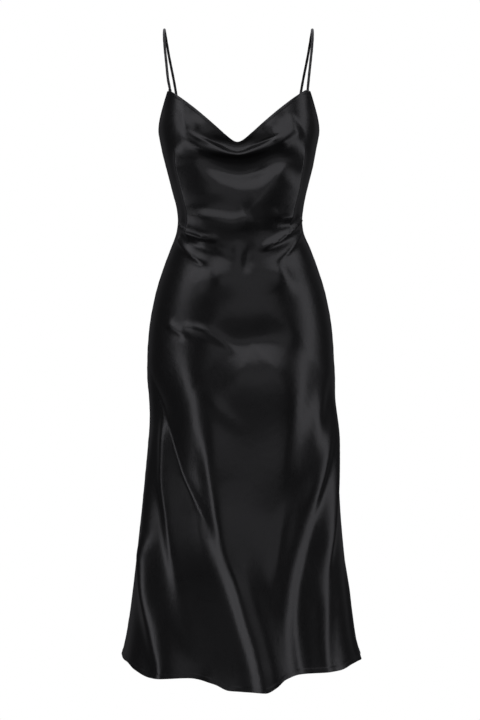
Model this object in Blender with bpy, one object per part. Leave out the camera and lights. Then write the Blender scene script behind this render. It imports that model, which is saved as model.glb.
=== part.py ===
"""A midi slip dress of black satin with a cowl neckline, worn and hollow.

Four cut pieces: a front panel, a back panel and two rouleau straps. The panels are thin walls
round an empty tube. A point on the cloth has an angle, measured round the dress from the centre
front (0) past the wearer's left side seam (+90) to the centre back (180), and a drop, the height
that it lies below the straps' top. Tables are in millimetres and degrees, objects in metres.

Frame: +Z up, the front faces -Y, the wearer's left is +X. The origin lies midway between the
two places where a shoulder carries the straps, on the straps' underside.
"""
from collections import namedtuple

import bpy
import numpy as np

# ---------------------------------------------------------------- driving dimensions, millimetres
METRES = 0.001
WALL = 1.5                  # thickness of the cloth wall
SEAM_GAP = 0.3              # air between two pieces where they are sewn together
TIP_DROP = 121.0            # top of the two front tips that the straps are sewn to
TIP_ANGLE = 60.5            # where the middle of a tip lies
TIP_WIDTH_ANGLE = 2.4       # width of a tip's flat top, in degrees
V_BOTTOM = 218.0            # lowest point of the neckline
V_CENTRE = -4.5             # it lies this far off the middle
V_SLOPE = 1.03              # how steeply the neckline's two sides start to climb
V_EASING = 0.0014           # how much less steep they get with each millimetre
V_ROUNDING = 12.0           # how widely the bottom of the V is rounded
UNDERARM_DROP = 190.0       # where the armhole meets the side seam
ARMHOLE_CURVE = 1.7         # more than 1 hollows the armhole's edge
BACK_SCOOP = 20.0           # how far the back's top edge dips at its centre
ROLL_DROP = 240.0           # lowest point of the cowl's roll
ROLL_RISE = 52.0            # how far the roll climbs to below the tips
SHOULDER_CENTRE = -3.0      # the straps hang this far off the middle
STRAP_DIAMETER = 5.0
STRAP_LAP = 13.0            # length of strap sewn behind a panel's edge

# --------------------------------------------------------------------------- the body of the tube
Section = namedtuple("Section", "drop half_width centre front_depth back_depth squareness")
SECTIONS = (
    Section(100, 136.0, -2.0, 104, 80, 3.3),     # above the bust
    Section(140, 141.5, -2.0, 109, 86, 3.1),
    Section(185, 147.2, -2.0, 115, 92, 2.7),     # bust and underarm
    Section(220, 141.7, -2.0, 115, 93, 2.5),
    Section(257, 133.4, -1.0, 107, 91, 2.3),
    Section(293, 124.2, -1.0, 104, 88, 2.25),
    Section(330, 115.9, 0.0, 104, 86, 2.2),
    Section(349, 114.1, 0.0, 105, 86, 2.15),     # waist
    Section(367, 115.9, 0.0, 106, 88, 2.1),
    Section(404, 129.7, 1.0, 109, 95, 2.0),
    Section(441, 143.5, 1.0, 113, 104, 2.0),
    Section(477, 154.6, 1.0, 117.5, 112, 2.0),
    Section(514, 162.8, 1.0, 121, 118, 2.0),
    Section(551, 168.4, 1.0, 123, 122, 2.0),
    Section(588, 171.1, 1.0, 124, 125, 2.0),
    Section(643, 173.0, 2.0, 126, 127, 2.0),     # hip
    Section(698, 173.5, 2.0, 128, 129, 2.05),
    Section(772, 176.6, 2.0, 132, 132, 2.2),
    Section(864, 182.2, 1.5, 139, 138, 2.4),
    Section(938, 188.6, 1.0, 146, 144, 2.5),
    Section(1011, 196.0, 1.0, 153, 151, 2.5),
    Section(1085, 205.2, 1.0, 161, 159, 2.5),
    Section(1122, 211.6, 1.5, 166, 164, 2.5),
    Section(1150, 218.5, 2.0, 171, 169, 2.5),
    Section(1190, 226.0, 2.0, 176, 174, 2.5),    # just past the hem
)

Hem = namedtuple("Hem", "angle drop")
HEM = (
    Hem(-180, 1165), Hem(-135, 1161), Hem(-90, 1145), Hem(-70, 1146), Hem(-60, 1154),
    Hem(-48, 1163), Hem(-29, 1159), Hem(-15, 1168), Hem(-7, 1178), Hem(4, 1180), Hem(13, 1179),
    Hem(19, 1170), Hem(24, 1158), Hem(31, 1153), Hem(53, 1154), Hem(66, 1147), Hem(90, 1144),
    Hem(135, 1158), Hem(180, 1165),
)

# ------------------------------------------------------------------------------------------ folds
# A fold's crest runs through the places of its path, each an x and a drop. It stands out, or in
# where that is negative, and its crest may hang down, in millimetres. flanks are the widths of its
# upper or right side and of its lower or left one. It fades in over the first part of its length
# and out over the last. Its power is 2 for a round crest, and close to 1 for a sharp one.
FRONT, BACK = 1, -1
Fold = namedtuple("Fold", "path flanks out down fades power face",
                  defaults=(0, (0.4, 0.4), 2.0, FRONT))
FOLDS = (
    # cups: soft fullness on either side of the centre
    Fold(((-72, 165), (-78, 205), (-72, 250)), (46, 46), 7, 0, (0.6, 0.6)),
    Fold(((72, 165), (76, 205), (70, 250)), (46, 46), 7, 0, (0.6, 0.6)),
    # the cowl's pocket under the neckline, its roll, and the hollow under the roll
    Fold(((-66, 176), (-40, 204), (-2, 226), (34, 207), (60, 182)), (11, 9), -8, 0, (0.4, 0.4)),
    Fold(((-122, 183), (-96, 210), (-53, 230), (-2, 235), (44, 226), (82, 207), (110, 183)),
         (10, 11), 10, 4, (0.4, 0.4)),
    Fold(((-80, 236), (-50, 250), (-8, 264), (40, 256), (76, 236)), (13, 13), -5, 0, (0.35, 0.35)),
    # the second and third drapes, and the slanting edge that closes them on the left
    Fold(((-104, 250), (-66, 270), (-36, 294), (0, 308), (40, 300), (72, 272), (98, 246)),
         (20, 60), 9, 0, (0.25, 0.25)),
    Fold(((-108, 344), (-80, 348), (-45, 354), (-10, 362), (14, 361), (36, 346)), (15, 22), 8, 0,
         (0.3, 0.25)),
    Fold(((92, 262), (70, 288), (40, 322), (12, 350), (-14, 374)), (44, 22), 8, 0, (0.25, 0.3), 1.4),
    # the corners where the front turns to the sides
    Fold(((122, 200), (117, 225), (109, 257), (100, 293), (93, 330), (93, 356), (98, 384),
          (108, 416)), (15, 30), 12, 0, (0.2, 0.4)),
    Fold(((-124, 200), (-119, 225), (-112, 257), (-104, 293), (-96, 330), (-95, 356), (-100, 384),
          (-110, 416)), (30, 14), 12, 0, (0.2, 0.4)),
    # folds that fan in from the waist's side seams
    Fold(((-104, 358), (-76, 380), (-30, 388)), (8, 8), 5, 0, (0.3, 0.7)),
    Fold(((-110, 377), (-92, 403), (-60, 424)), (8, 8), 5, 0, (0.3, 0.6)),
    Fold(((-112, 392), (-86, 424), (-58, 440)), (8, 9), -5, 0, (0.3, 0.6)),
    Fold(((104, 350), (74, 376), (34, 400)), (8, 8), 5, 0, (0.3, 0.6)),
    Fold(((106, 362), (82, 390), (46, 416)), (8, 8), -5, 0, (0.3, 0.6)),
    Fold(((108, 374), (88, 398), (60, 422)), (8, 9), 5, 0, (0.3, 0.6)),
    # where the belly starts to round out on both sides
    Fold(((-26, 408), (-22, 460), (-22, 512)), (60, 34), 8, 0, (0.5, 0.5)),
    Fold(((30, 400), (46, 430), (72, 462), (88, 492)), (22, 44), 5, 0, (0.3, 0.6)),
    # the drag fold over the left hip, the hollow across the belly, and the swag under it
    Fold(((-112, 543), (-73, 551), (-42, 567), (-14, 589), (6, 602)), (9, 8), 6, 0, (0.3, 0.4)),
    Fold(((-104, 556), (-68, 572), (-42, 588), (-24, 604)), (8, 9), -5, 0, (0.3, 0.5)),
    Fold(((-60, 540), (-30, 560), (0, 571), (32, 568), (63, 559), (95, 536)), (30, 26), -9, 0,
         (0.4, 0.4)),
    Fold(((-50, 606), (0, 642), (32, 648), (70, 632), (108, 580)), (50, 70), 11, 0, (0.35, 0.4)),
    # the long ridge from the right hip to the hem
    Fold(((-98, 568), (-87, 606), (-75, 650), (-57, 705), (-42, 765), (-32, 830)), (38, 36), 9, 0,
         (0.2, 0.3)),
    Fold(((-62, 690), (-47, 771), (-34, 830), (-24, 890), (-13, 956), (2, 1005), (16, 1056),
          (30, 1100), (42, 1150), (50, 1200)), (44, 18), 13, 0, (0.25, 0)),
    Fold(((-32, 850), (-15, 950), (8, 1040), (30, 1100), (46, 1160), (52, 1200)), (50, 80), 12, 0,
         (0.5, 0)),
    # the ridges down from the left hip
    Fold(((114, 520), (108, 600), (98, 660), (84, 720), (66, 780), (54, 840)), (28, 36), 4, 0,
         (0.5, 0.4)),
    Fold(((166, 640), (161, 700), (156, 745), (147, 800), (134, 850), (124, 900)), (14, 22), 7, 0,
         (0.35, 0.4)),
    # the creases where the front parts from the flare at the sides
    Fold(((-168, 610), (-155, 674), (-140, 725), (-125, 773), (-108, 820), (-92, 870)), (48, 60),
         -14, 0, (0.25, 0.45), 1.3),
    Fold(((172, 612), (158, 694), (145, 738)), (30, 16), -3, 0, (0.5, 0.4)),
    # the skirt's right side: its square corner, and the hollow that slants to the centre
    Fold(((-166, 640), (-163, 720), (-160, 800), (-160, 887), (-158, 960), (-152, 1030),
          (-146, 1103), (-138, 1180)), (60, 30), 8, 0, (0.25, 0)),
    Fold(((-146, 700), (-136, 770), (-122, 814), (-112, 887), (-98, 958), (-84, 1030)), (60, 14),
         -5, 0, (0.25, 0.4)),
    # its left side: the broad ridge, the hollow beside it, and the ridges at the corner
    Fold(((84, 880), (70, 940), (58, 1000), (54, 1060), (54, 1120), (56, 1190)), (36, 80), 6, 0,
         (0.35, 0)),
    Fold(((168, 770), (152, 830), (140, 887), (120, 958), (107, 1020), (102, 1080), (105, 1120),
          (116, 1180)), (90, 16), -5.5, 0, (0.3, 0.1)),
    Fold(((172, 640), (172, 720), (171, 814), (168, 887), (160, 958), (154, 1020)), (14, 28), 10, 0,
         (0.3, 0.3)),
    Fold(((158, 960), (154, 1030), (150, 1103), (152, 1150), (156, 1200)), (18, 30), 5, 0,
         (0.4, 0)),
    # the back: two waist folds a side, a drag fold across the seat and a soft ridge
    Fold(((-104, 352), (-70, 376), (-28, 384)), (10, 10), 4, 0, (0.3, 0.7), 2.0, BACK),
    Fold(((-110, 384), (-84, 412), (-44, 430)), (10, 11), 5, 0, (0.3, 0.7), 2.0, BACK),
    Fold(((106, 346), (74, 366), (24, 378)), (10, 10), 5, 0, (0.3, 0.7), 2.0, BACK),
    Fold(((112, 388), (84, 420), (52, 440)), (10, 11), 4, 0, (0.3, 0.7), 2.0, BACK),
    Fold(((138, 520), (70, 566), (-20, 600)), (12, 14), 4, 0, (0.3, 0.7), 2.0, BACK),
    Fold(((-70, 236), (0, 262), (76, 240)), (14, 14), 3, 0, (0.5, 0.5), 2.0, BACK),
)

# A flute's crest runs through places given by their angle and drop, and runs off the hem.
Flute = namedtuple("Flute", "path flanks out fade_in")
FLUTES = (
    Flute(((-77, 680), (-73.5, 800), (-66, 907), (-59, 995), (-54, 1052), (-48, 1103),
           (-41, 1157), (-38, 1240)), (27, 18), 12, 0.5),
    Flute(((80, 940), (78, 1040), (74, 1240)), (12, 12), 4.5, 0.3),
    Flute(((95, 1000), (93, 1100), (90, 1240)), (26, 26), 3, 0.8),
    Flute(((-96, 1000), (-94, 1100), (-90, 1240)), (26, 26), 3, 0.8),
    Flute(((122, 740), (124, 950), (127, 1240)), (30, 30), 22, 0.8),
    Flute(((149, 700), (148, 920), (147, 1240)), (26, 26), -12, 0.8),
    Flute(((166, 760), (168, 950), (171, 1240)), (34, 30), 30, 0.85),
    Flute(((-170, 700), (-166, 920), (-160, 1240)), (28, 28), -14, 0.8),
    Flute(((-146, 720), (-142, 940), (-138, 1240)), (30, 34), 28, 0.85),
    Flute(((-118, 760), (-116, 960), (-112, 1240)), (26, 24), -7, 0.8),
)

# ----------------------------------------------------------------------------------------- straps
StrapPoint = namedtuple("StrapPoint", "across depth drop")
STRAP_ROUTE = (             # from the front tip over the shoulder to the back's top edge
    StrapPoint(127.0, -64, 100), StrapPoint(130.5, -55, 68), StrapPoint(134.0, -41, 36),
    StrapPoint(135.7, -24, 12), StrapPoint(136.0, 0, 0), StrapPoint(134.5, 24, 10),
    StrapPoint(130.0, 44, 38), StrapPoint(121.0, 63, 84), StrapPoint(112.0, 74, 136),
)
STRAP_BACK_ANGLE = 129.0    # where a strap meets the back's top edge

# ------------------------------------------------------------------------------------ grid sizes
NECK_ROWS = 9               # from a panel's top edge to the line of the cowl's roll
BODY_ROWS = 39              # from there to the hem
ROW_GROWTH = 0.6            # the body's rows are finer at the top, where the folds are
BAND_DEPTH = 34.0           # how far below the underarm that line meets the side seam
ARMHOLE_COLUMNS = 7         # from the side seam to a front tip
NECK_COLUMNS = 13           # from a front tip to the centre
BACK_COLUMNS = 26
STRAP_STEPS = 36
PATH_STEPS = 30             # straight steps that a fold's crest is measured by


def table_column(rows, name):
    """One named column of a table, as an array."""
    return np.array([getattr(row, name) for row in rows], float)


def through_rows(knots, values, at):
    """A smooth curve through a table's rows that never overshoots them."""
    step = np.diff(knots)
    rise = np.diff(values) / step
    slope = np.concatenate([rise[:1], np.zeros(len(rise) - 1), rise[-1:]])
    steady = rise[:-1] * rise[1:] > 0
    slope[1:-1][steady] = (2 * rise[:-1] * rise[1:])[steady] / (rise[:-1] + rise[1:])[steady]
    i = np.clip(np.searchsorted(knots, at) - 1, 0, len(step) - 1)
    s = (at - knots[i]) / step[i]
    return ((1 + 2 * s) * (1 - s) ** 2 * values[i] + s * (1 - s) ** 2 * step[i] * slope[i]
            + s * s * (3 - 2 * s) * values[i + 1] - s * s * (1 - s) * step[i] * slope[i + 1])


def section_at(drop):
    """Half width, centre, front and back depth and squareness of the tube at a drop."""
    drops = table_column(SECTIONS, "drop")
    return [through_rows(drops, table_column(SECTIONS, name), drop) for name in Section._fields[1:]]


def tube(angle, drop):
    """The smooth tube, a squarish oval at each drop: its point and its level outward direction."""
    half, centre, front, back, square = section_at(drop)
    depth = np.where(np.abs(angle) <= 90, front, back)
    sine, cosine = np.sin(np.radians(angle)), np.cos(np.radians(angle))
    radius = (np.abs(sine / half) ** square + np.abs(cosine / depth) ** square) ** (-1 / square)
    x, y = radius * sine, -radius * cosine
    out_x = np.sign(x) * np.abs(x / half) ** (square - 1) / half
    out_y = np.sign(y) * np.abs(y / depth) ** (square - 1) / depth
    length = np.hypot(out_x, out_y)
    return x + centre, y, out_x / length, out_y / length, radius


def angle_of(x, drop, face):
    """The angle of the place on the front or back wall that lies x to the right of the middle."""
    half, centre, front, back, square = section_at(drop)
    share = np.clip(np.abs((x - centre) / half), 0, 0.9999)
    depth = (front if face == FRONT else back) * (1 - share ** square) ** (1 / square)
    return np.degrees(np.arctan2(x - centre, depth * face))


def swell(share):
    """A soft start, from 0 to 1."""
    share = np.clip(share, 0, 1)
    return share * share * (3 - 2 * share)


def smooth_path(places):
    """Even steps along a smooth curve through the places, spaced by the straight lines' lengths."""
    places = np.array(places, float)
    length = np.concatenate([[0], np.cumsum(np.hypot(*np.diff(places, axis=0).T))])
    at = np.linspace(0, length[-1], PATH_STEPS + 1)
    return [through_rows(length, places[:, k], at) for k in (0, 1)]


def fold_profile(angle, drop, radius, path, flanks, fades, power=2.0):
    """How strongly a fold acts at each point: 1 on its crest, falling off to both sides.

    The distance to the crest is measured on the unrolled cloth, to the nearest of its steps.
    """
    path_angle, path_drop = path
    scale = np.radians(radius)[..., None]
    turn = (path_angle - angle[..., None] + 180) % 360 - 180
    ax, ay = scale * turn, path_drop - drop[..., None]
    sx, sy = scale * np.diff(path_angle), np.diff(path_drop)
    ax, ay = ax[..., :-1], ay[..., :-1]
    along = np.clip(-(ax * sx + ay * sy) / (sx * sx + sy * sy), 0, 1)
    distance = np.hypot(ax + along * sx, ay + along * sy)
    nearest = np.argmin(distance, axis=-1)[..., None]

    def pick(values):
        return np.take_along_axis(values, nearest, axis=-1)[..., 0]

    lower_side = pick(sy * ax - sx * ay) > 0
    flank = np.where(lower_side, flanks[1], flanks[0])
    share = (nearest[..., 0] + pick(along)) / (len(path_angle) - 1)
    start = swell(share / fades[0])
    end = swell((1 - share) / fades[1]) if fades[1] else 1.0
    return np.exp(-(pick(distance) / flank) ** power) * start * end


def cloth(angle, drop):
    """The outer face of the dress, folds and all, in millimetres, with z counted upwards."""
    angle, drop = np.broadcast_arrays(np.asarray(angle, float), np.asarray(drop, float))
    x, y, out_x, out_y, radius = tube(angle, drop)
    out, down = np.zeros_like(x), np.zeros_like(x)
    for fold in FOLDS:
        path_x, path_drop = smooth_path(fold.path)
        path_angle = np.degrees(np.unwrap(np.radians(angle_of(path_x, path_drop, fold.face))))
        profile = fold_profile(angle, drop, radius, (path_angle, path_drop), fold.flanks, fold.fades,
                               fold.power)
        out += fold.out * profile
        down += fold.down * profile
    for flute in FLUTES:
        out += flute.out * fold_profile(angle, drop, radius, smooth_path(flute.path), flute.flanks,
                                        (flute.fade_in, 0))
    return np.stack([x + out * out_x, y + out * out_y, -drop - down], axis=-1)


def outward(angle, drop):
    """The outward direction of the cloth's outer face."""
    d_angle, d_drop = 0.05, 0.1                 # small steps along and down the cloth
    across = cloth(angle + d_angle, drop) - cloth(angle - d_angle, drop)
    upward = cloth(angle, drop - d_drop) - cloth(angle, drop + d_drop)
    normal = np.cross(across, upward)
    return normal / np.linalg.norm(normal, axis=-1, keepdims=True)


# --------------------------------------------------------------------------- edges of the panels
def neckline(x):
    """Drop of the V at x."""
    away = np.hypot(x - V_CENTRE, V_ROUNDING) - V_ROUNDING
    return V_BOTTOM - V_SLOPE * away + V_EASING * away ** 2


def front_top(angle):
    """Drop of the front's top edge: the V, the two flat tips, and the armholes' edges."""
    tip_outer = TIP_ANGLE + TIP_WIDTH_ANGLE / 2
    turned = np.abs(angle)
    neck = np.full_like(turned, V_BOTTOM)
    for _ in range(8):
        neck = neckline(tube(angle, neck)[0])
    share = np.clip((turned - tip_outer) / (90 - tip_outer), 0, 1)
    armhole = TIP_DROP + (UNDERARM_DROP - TIP_DROP) * (1 - (1 - share) ** ARMHOLE_CURVE)
    return np.where(turned < TIP_ANGLE, np.maximum(neck, TIP_DROP), armhole)


def roll_line(angle):
    """Drop of the line that the grid's rows follow: the cowl's roll, and a band round the back."""
    turned = np.abs(angle)
    climb = np.sin(np.radians(90 * np.clip(turned / TIP_ANGLE, 0, 1))) ** 2
    roll = ROLL_DROP - ROLL_RISE * climb
    under_arm = UNDERARM_DROP + BAND_DEPTH
    side = swell((turned - TIP_ANGLE) / (90 - TIP_ANGLE))
    return np.where(turned <= 90, roll + (under_arm - roll) * side,
                    under_arm + BACK_SCOOP * np.sin(np.radians(turned - 90)) ** 2)


def back_top(angle):
    """Drop of the back's top edge, a shallow scoop."""
    return UNDERARM_DROP + BACK_SCOOP * np.sin(np.radians(np.abs(angle) - 90)) ** 2


def hem_drop(angle):
    """Drop of the hem round the dress."""
    turned = (np.asarray(angle) + 180) % 360 - 180
    return through_rows(table_column(HEM, "angle"), table_column(HEM, "drop"), turned)


# ----------------------------------------------------------------------------------------- solids
def cloth_material(name, roughness):
    """Black satin."""
    material = bpy.data.materials.new(name)
    material.use_nodes = True
    shader = material.node_tree.nodes["Principled BSDF"]
    shader.inputs["Base Color"].default_value = (0.012, 0.012, 0.014, 1)
    shader.inputs["Roughness"].default_value = roughness
    shader.inputs["Metallic"].default_value = 0.0
    return material


def add_object(name, data, material):
    """Puts a finished mesh or curve into the scene as one named piece."""
    item = bpy.data.objects.new(name, data)
    data.materials.append(material)
    bpy.context.scene.collection.objects.link(item)
    return item


def panel(name, columns, top_edge, material):
    """A closed wall between the cloth's outer face and a face inside it.

    columns holds the angles of the grid's columns, its first and last being side seams.
    """
    s = np.linspace(0, 1, BODY_ROWS + 1)[1:, None]
    body_share = (1 - ROW_GROWTH) * s + ROW_GROWTH * s * s
    neck_share = np.linspace(0, 1, NECK_ROWS + 1)[:, None]
    columns = columns[None, :]
    middle = roll_line(columns)
    drop = np.concatenate([top_edge(columns) * (1 - neck_share) + middle * neck_share,
                           middle * (1 - body_share) + hem_drop(columns) * body_share])
    seam_shift = np.degrees(SEAM_GAP / 2 / section_at(drop)[0])
    angle = np.broadcast_to(columns, drop.shape).copy()
    angle[:, :1] += seam_shift[:, :1]
    angle[:, -1:] -= seam_shift[:, -1:]
    outer = cloth(angle, drop)
    inner = outer - WALL * outward(angle, drop)
    rows, cols = drop.shape
    points = np.concatenate([outer.reshape(-1, 3), inner.reshape(-1, 3)]) * METRES

    index = np.arange(rows * cols).reshape(rows, cols)
    back = index + rows * cols
    faces = quads(index[:-1, :-1], index[1:, :-1], index[1:, 1:], index[:-1, 1:])
    faces += quads(back[:-1, :-1], back[:-1, 1:], back[1:, 1:], back[1:, :-1])
    faces += quads(index[0, :-1], index[0, 1:], back[0, 1:], back[0, :-1])
    faces += quads(index[-1, 1:], index[-1, :-1], back[-1, :-1], back[-1, 1:])
    faces += quads(index[1:, 0], index[:-1, 0], back[:-1, 0], back[1:, 0])
    faces += quads(index[:-1, -1], index[1:, -1], back[1:, -1], back[:-1, -1])
    mesh = bpy.data.meshes.new(name)
    mesh.from_pydata(points.tolist(), [], faces)
    mesh.shade_smooth()
    mesh.set_sharp_from_angle(angle=np.radians(50))
    return add_object(name, mesh, material)


def quads(a, b, c, d):
    """Four-cornered faces from the arrays of their corners."""
    return np.stack([a, b, c, d], axis=-1).reshape(-1, 4).tolist()


def front_columns():
    """Angles of the front's columns, with one at each side of the tips' flat tops."""
    tip_inner = TIP_ANGLE - TIP_WIDTH_ANGLE / 2
    tip_outer = TIP_ANGLE + TIP_WIDTH_ANGLE / 2
    right = np.concatenate([np.linspace(0, tip_inner, NECK_COLUMNS + 1),
                            np.linspace(tip_outer, 90, ARMHOLE_COLUMNS + 1)])
    return np.concatenate([-right[:0:-1], right])


def back_columns():
    """Angles of the back's columns, on from the left side seam to the right one."""
    return np.linspace(90, 270, BACK_COLUMNS + 1)


def behind(angle, drop):
    """The middle of a strap that lies against the inside of the cloth."""
    angle, drop = np.array([float(angle)]), np.array([float(drop)])
    sunk = WALL + SEAM_GAP + STRAP_DIAMETER / 2
    return (cloth(angle, drop) - sunk * outward(angle, drop))[0]


def strap(name, side, material):
    """A rouleau from inside a front tip, over the shoulder, to inside the back's top edge."""
    radius = STRAP_DIAMETER / 2
    front_angle, back_angle = side * TIP_ANGLE, side * STRAP_BACK_ANGLE
    back_edge = float(back_top(np.array([back_angle]))[0])
    lower_front = [behind(front_angle, TIP_DROP + STRAP_LAP), behind(front_angle, TIP_DROP + 2)]
    lower_back = [behind(back_angle, back_edge + 2), behind(back_angle, back_edge + STRAP_LAP)]
    over = [np.array([SHOULDER_CENTRE + side * p.across, p.depth, radius - p.drop])
            for p in STRAP_ROUTE]
    route = np.array(lower_front + over + lower_back)
    length = np.concatenate([[0], np.cumsum(np.linalg.norm(np.diff(route, axis=0), axis=1))])
    at = np.linspace(0, length[-1], STRAP_STEPS + 1)
    curve = bpy.data.curves.new(name, "CURVE")
    curve.dimensions = "3D"
    curve.bevel_depth = radius * METRES
    curve.bevel_resolution = 2
    curve.use_fill_caps = True
    spline = curve.splines.new("POLY")
    spline.points.add(len(at) - 1)
    line = np.stack([through_rows(length, route[:, k], at) for k in range(3)], axis=-1) * METRES
    for point, place in zip(spline.points, line):
        point.co = (*place, 1)
    return add_object(name, curve, material)


def main():
    for item in list(bpy.data.objects):
        bpy.data.objects.remove(item, do_unlink=True)
    satin = cloth_material("black satin", 0.34)
    rouleau = cloth_material("black satin rouleau", 0.4)
    panel("front_panel", front_columns(), front_top, satin)
    panel("back_panel", back_columns(), back_top, satin)
    strap("strap_right", -1, rouleau)
    strap("strap_left", 1, rouleau)


main()
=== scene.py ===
"""Looks of the black satin slip dress: its cloth, folds, edges, stitching, straps and studio.

A point on the cloth has an angle, measured round the dress from the centre front (0) past the
wearer's left side seam (+90) to the centre back (180), and a drop, the height that it lies below
the straps' top. Tables are in millimetres and degrees, meshes in metres. +Z is up, the front faces
-Y and the wearer's left is +X.
"""
from collections import namedtuple

import bpy
import numpy as np
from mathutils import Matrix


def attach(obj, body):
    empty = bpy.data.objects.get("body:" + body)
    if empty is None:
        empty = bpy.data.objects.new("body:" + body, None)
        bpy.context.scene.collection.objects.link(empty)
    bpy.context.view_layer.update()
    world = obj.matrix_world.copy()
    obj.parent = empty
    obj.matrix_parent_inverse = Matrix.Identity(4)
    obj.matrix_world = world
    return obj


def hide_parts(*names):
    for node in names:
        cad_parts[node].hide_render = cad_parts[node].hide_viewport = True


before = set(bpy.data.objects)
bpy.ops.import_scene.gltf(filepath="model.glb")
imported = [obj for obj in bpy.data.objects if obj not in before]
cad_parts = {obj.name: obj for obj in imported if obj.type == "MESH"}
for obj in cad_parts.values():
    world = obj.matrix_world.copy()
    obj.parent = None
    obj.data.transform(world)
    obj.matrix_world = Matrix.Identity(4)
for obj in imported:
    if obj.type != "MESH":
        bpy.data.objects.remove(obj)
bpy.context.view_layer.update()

# ------------------------------------------------------------------------- sizes, millimetres
METRES = 0.001
CLOTH = 0.8                 # thickness of the satin
TURNED = 0.7                # how much thicker it is where its edge is turned in and stitched
TURNED_OUT = 0.4            # the share of that which stands out, the rest lies inside
NECK_TURNING = (3.6, 1.4)   # where the top edge's turning starts to thin, and over what width
HEM_TURNING = (7.2, 1.2)    # the same for the hem's
SEAM_DIP = (0.9, 1.3)       # how far the cloth dips in at a side seam, and how widely
PUCKER_REACH = 5.0          # how far from the seam the cloth puckers
PUCKER_SCALE = 0.8
PUCKER_WAVES = ((0.25, 3.1, 0), (0.2, 5.3, 1), (0.2, 8.9, 2))     # each a size, length and phase
TIP_DROP = 121.0            # top of the two front tips that the straps are sewn to
TIP_ANGLE = 61.8            # where the middle of a tip lies
TIP_WIDTH_ANGLE = 2.4       # width of a tip's flat top, in degrees
V_BOTTOM = 218.0            # lowest point of the neckline
V_CENTRE = -4.5             # it lies this far off the middle
V_SLOPE = 1.03              # how steeply the neckline's two sides start to climb
V_EASING = 0.0014           # how much less steep they get with each millimetre
V_ROUNDING = 12.0           # how widely the bottom of the V is rounded
V_PASSES = 8                # the edge's place on the tube is found in so many passes
UNDERARM_DROP = 190.0       # where the armhole meets the side seam
ARMHOLE_CURVE = 1.7         # more than 1 hollows the armhole's edge
BACK_SCOOP = 20.0           # how far the back's top edge dips at its centre
ROLL_DROP = 240.0           # the grid's rows follow the cowl's roll
ROLL_RISE = 52.0            # how far the roll climbs to below the tips
BAND_DEPTH = 34.0           # how far below the underarm that line meets the side seam
TOP_RADIUS = 150.0          # rough radius of the dress at its top edge, for the edge's slope
SEAM_RADIUS = 160.0         # rough radius of the dress at its side seams
STEEPEST_LEAN = 1.5         # the edge's rows spread no more than this where it is steep

SHOULDER_CENTRE = -3.0      # the straps hang this far off the middle
STRAP_RADIUS = 2.4
STRAP_RISE = 2.5            # how far the middle of a strap's highest point lies above the top
STRAP_LAP = 13.0            # length of strap sewn behind a panel's edge
STRAP_ENTRY = 2.0           # how far below that edge it first touches the cloth
STRAP_SUNK = 4.3            # how far behind the cloth's face its middle then lies
STRAP_FLATTENING = 10.0     # length over which it goes from flat to round
STRAP_WIDENED = 0.7         # how much wider on each side, and how much thinner, the flat part is
STRAP_THINNED = 1.0
STRAP_TAPER = 1.5           # length of its rounded ends
STRAP_STEPS = 240
STRAP_SIDES = 20
STRAP_WAVES = ((0.06, 2.3, 0), (0.05, 3.7, 1))

EDGE_STITCH = (3.0, 2.5, 0.45)      # distance between stitches, a stitch's length and its width
HEM_STITCH = (3.2, 2.7, 0.45)
STITCH_SIDES = 6

NECK_EDGE_ROWS = (0, 0.4, 0.9, 1.6, 3.2, 3.9, 4.6, 5.4, 6.8)      # distances from the top edge
HEM_EDGE_ROWS = (11, 8.8, 8.1, 7.4, 6.2, 3.2, 1.2, 0.5, 0)        # distances from the hem
NECK_STITCH_ROW = 4         # which of those rows the stitches run along
HEM_STITCH_ROW = 4
NECK_ROWS = 30              # from there to the line of the cowl's roll
BODY_ROWS = 190             # from there to the hem
ROW_GROWTH = 0.55           # the body's rows are finer at the top
SEAM_COLUMNS = (0, 0.17, 0.4, 0.7, 1.1, 1.8)                      # degrees from a side seam
NECK_COLUMNS = 34           # from the centre to a corner of the bodice
CORNER_ANGLE = 44.0         # where that corner lies
CORNER_COLUMNS = 30         # from there to a front tip, closer together
TIP_COLUMNS = 3
ARMHOLE_COLUMNS = 24
BACK_COLUMNS = 150
PATH_STEPS = 30             # straight steps that a fold's crest is measured by
SHARP_ANGLE = 55            # edges that bend by more degrees than this are shaded as sharp

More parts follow.
